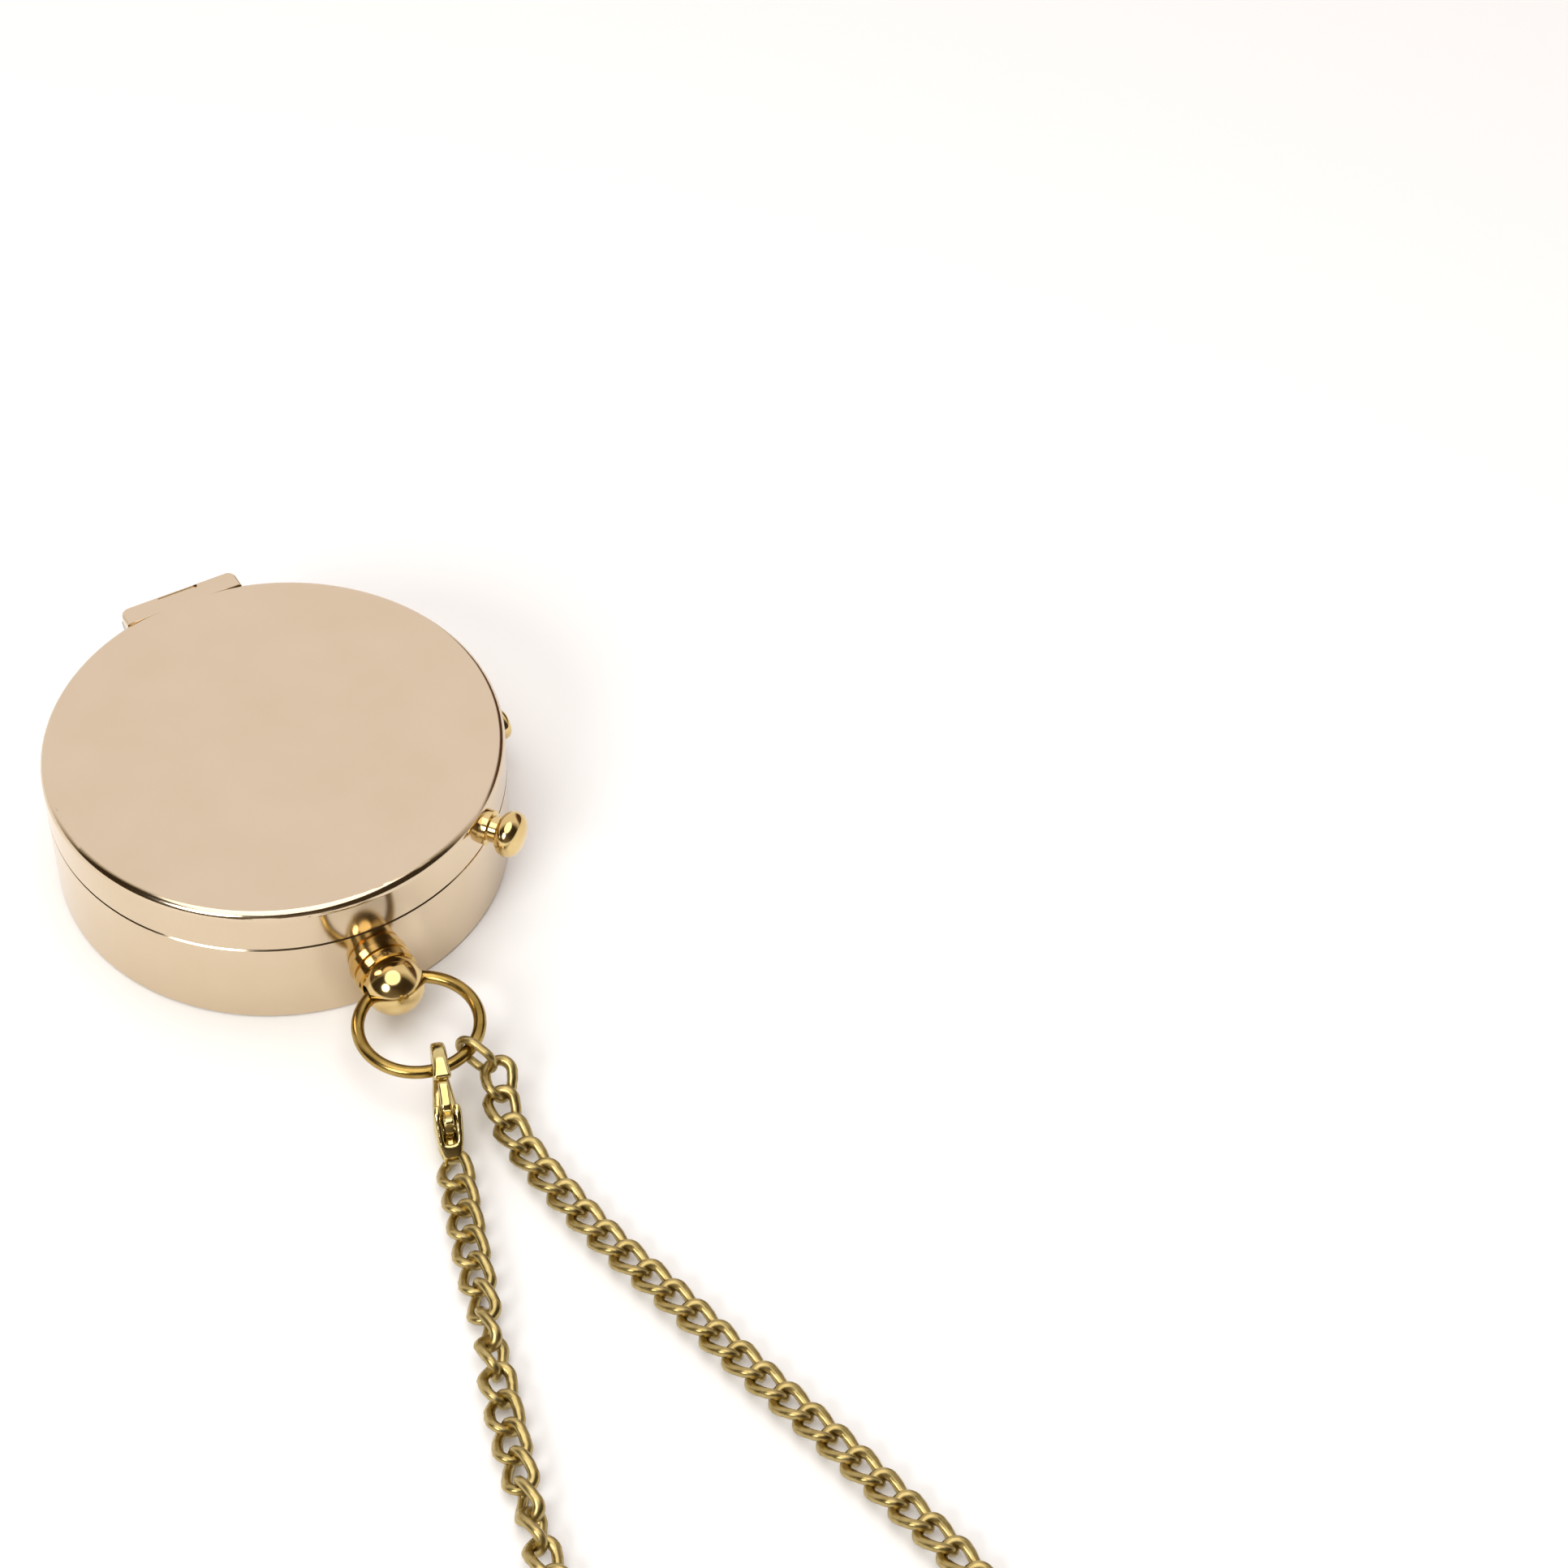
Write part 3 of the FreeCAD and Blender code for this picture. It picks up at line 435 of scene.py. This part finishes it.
scale = bmesh.new()
for degree in range(0, 360, 2):
    long, wide = (2.2, 0.4) if degree % 30 == 0 else (1.6, 0.28) if degree % 10 == 0 else (1.0, 0.18)
    tick = bmesh.ops.create_cube(scale, size=1)["verts"]
    turn = Matrix.Rotation(math.radians(-degree), 4, "Z")
    seat = Matrix.Translation((0, (SCALE_RADIUS - long / 2) * MM, DIAL_TOP + PRINT / 2))
    shape = Matrix.Diagonal((wide * MM, long * MM, PRINT, 1))
    bmesh.ops.transform(scale, matrix=turn @ seat @ shape, verts=tick)
degree_scale = bpy.data.objects.new("degree_scale", bpy.data.meshes.new("degree_scale"))
scale.to_mesh(degree_scale.data)
scale.free()
bpy.context.scene.collection.objects.link(degree_scale)
printed(degree_scale, ink)


def word(text, size, bearing, radius, name, paint):
    """Printed characters at a bearing, upright when read from the dial's centre."""
    untouched()
    bpy.ops.object.text_add()
    made = bpy.context.object
    made.name = name
    made.data.body = text
    made.data.align_x = made.data.align_y = "CENTER"
    made.data.size = size * MM
    made.data.extrude = PRINT / 2
    made.matrix_world = (Matrix.Rotation(math.radians(-bearing), 4, "Z")
                         @ Matrix.Translation((0, radius * MM, DIAL_TOP + PRINT / 2)))
    bpy.context.view_layer.update()
    printed(made, paint)


for bearing in range(0, 360, 30):
    word(str(bearing), 3.2, bearing, NUMBER_RADIUS, "number_%d" % bearing, ink)
for letter, bearing in zip("NESW", (0, 90, 180, 270)):
    word(letter, 5.2, bearing, LETTER_RADIUS, "letter_" + letter, red_ink if letter == "N" else ink)

for name, long, start, lift in (("rose_half_points", 13.5, 45, 0.10), ("rose_main_points", 18.4, 0, 0.25)):
    untouched()
    bpy.ops.mesh.primitive_cone_add(
        vertices=8, radius1=long * MM, radius2=0, depth=lift * MM, end_fill_type="NGON")
    rose = bpy.context.object
    rose.name = name
    for vertex in rose.data.vertices:
        reach = vertex.co.xy.length
        heading = math.degrees(math.atan2(vertex.co.y, vertex.co.x)) % 90
        if reach > MM and 10 < heading < 80:
            vertex.co.xy *= ROSE_WAIST
    rose.data.transform(Matrix.Rotation(math.radians(start), 4, "Z"))
    rose.data.transform(Matrix.Translation((0, 0, DIAL_TOP + lift / 2 * MM)))
    rose.matrix_world = Matrix.Identity(4)
    rose.data.materials.append(ink)
    rose.data.materials.append(red_ink)
    for face in rose.data.polygons:
        turned = math.degrees(math.atan2(face.center.y, face.center.x)) - start
        face.material_index = 1 if math.sin(math.radians(4 * turned)) > 0 else 0
    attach(rose, "case")

silvering = finish("silvered_brass_ring", "#B9B6AC", "#CFCCC2", (0.3, 0.4), 3, 0.1, 0.08)
clothe(silvering, "chapter_ring")
clothe(inner_finish, "bezel_ring")

# ---------------------------------------------------------------- crystal and gasket
# Flat mineral glass, bedded on a thin black gasket under the pressed-in bezel.
glass = bpy.data.materials.new("mineral_glass")
glass.use_nodes = True
clear = glass.node_tree.nodes["Principled BSDF"]
clear.inputs["Transmission Weight"].default_value = 1
clear.inputs["IOR"].default_value = 1.5
place = add(glass.node_tree, "ShaderNodeTexCoord").outputs["Object"]
smear = add(glass.node_tree, "ShaderNodeTexNoise", [("Vector", place)], Scale=90.0, Detail=3.0)
haze = add(glass.node_tree, "ShaderNodeMapRange", [("Value", smear.outputs["Fac"])])
haze.inputs["To Min"].default_value = 0.0
haze.inputs["To Max"].default_value = 0.03
glass.node_tree.links.new(haze.outputs["Result"], clear.inputs["Roughness"])
clothe(glass, "crystal")
rubber = lacquer("black_rubber_gasket", "#121110", "#1D1B1A", 0.7, 1)
clothe(rubber, "crystal_gasket")

# ---------------------------------------------------------------- needle
# A lozenge of blued spring steel with its north tip lacquered red, staked to a turned
# brass cap that holds an agate cup. A slip of brass balances it.
TIP_START = 16
TIP_BLEND = 0.1
blueing = finish("heat_blued_steel", "#1B2A55", "#2C3F78", (0.2, 0.3), 4, 0.1, 0.05)
tree = blueing.node_tree
blued = tree.nodes["Principled BSDF"]
place = add(tree, "ShaderNodeTexCoord").outputs["Object"]
northing = add(tree, "ShaderNodeSeparateXYZ", [("Vector", place)]).outputs["Y"]
tip = add(tree, "ShaderNodeMapRange", [("Value", northing)],
          From_Min=(TIP_START - TIP_BLEND) * MM, From_Max=(TIP_START + TIP_BLEND) * MM)
painted = add(tree, "ShaderNodeMix", [("Factor", tip.outputs["Result"])], data_type="RGBA")
tree.links.new(blued.inputs["Base Color"].links[0].from_socket, painted.inputs["A"])
painted.inputs["B"].default_value = tone("#B3261C")
tree.links.new(painted.outputs["Result"], blued.inputs["Base Color"])
clothe(blueing, "needle_blade")
clothe(inner_finish, "needle_hub", "needle_counterweight")
agate = lacquer("polished_agate", "#6E1E18", "#8F3A2C", 0.08, 1)
clothe(agate, "needle_jewel")

# ---------------------------------------------------------------- mirror
# A silvered glass disc held in the lid by a turned brass ring.
silver = finish("silvered_mirror", "#DCE0E2", "#E4E8E9", (0.0, 0.03), 20, 0.3, 0.0)
clothe(silver, "lid_mirror")
clothe(inner_finish, "lid_mirror_ring")

# ---------------------------------------------------------------- transit lock
# Under the dial, the side knob pushes a brass lever that lifts a sleeve and the needle
# off the steel post. A coil spring on the knob's shaft pushes it back out.
clothe(inner_finish, "lift_lever", "lift_sleeve", "lever_bracket")
clothe(steel_finish, "pivot_post", "lever_pin", "lock_clip", "movement_screws")
COIL_WIRE_RADIUS = 0.17
COIL_RADIUS = 1.7
COIL_CLEARANCE = 0.2
TURNS = 5
spring_low, spring_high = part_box("lock_spring")
untouched()
bpy.ops.mesh.primitive_circle_add(vertices=12, radius=COIL_WIRE_RADIUS * MM, fill_type="NOTHING")
coil = bpy.context.object
coil.name = "lock_coil_spring"
coil.data.transform(Matrix.Translation((0, COIL_RADIUS * MM, 0)))
wind = coil.modifiers.new("wind", "SCREW")
wind.axis = "X"
wind.steps = wind.render_steps = 24
wind.iterations = TURNS
wind.screw_offset = (spring_high[0] - spring_low[0] - 2 * COIL_CLEARANCE * MM) / TURNS
bpy.ops.object.modifier_apply(modifier="wind")
bpy.ops.object.mode_set(mode="EDIT")
bpy.ops.mesh.select_all(action="SELECT")
bpy.ops.mesh.remove_doubles(threshold=0.0001 * MM)
bpy.ops.mesh.select_all(action="DESELECT")
bpy.ops.mesh.select_non_manifold()
bpy.ops.mesh.fill()
bpy.ops.mesh.select_all(action="SELECT")
bpy.ops.mesh.normals_make_consistent()
bpy.ops.object.mode_set(mode="OBJECT")
bpy.ops.object.shade_smooth()
coil_height = (spring_low[2] + spring_high[2]) / 2
coil.data.transform(Matrix.Translation((spring_low[0] + COIL_CLEARANCE * MM, 0, coil_height)))
coil.data.materials.append(steel_finish)
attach(coil, "case")
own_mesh(coil)
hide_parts("lock_spring")
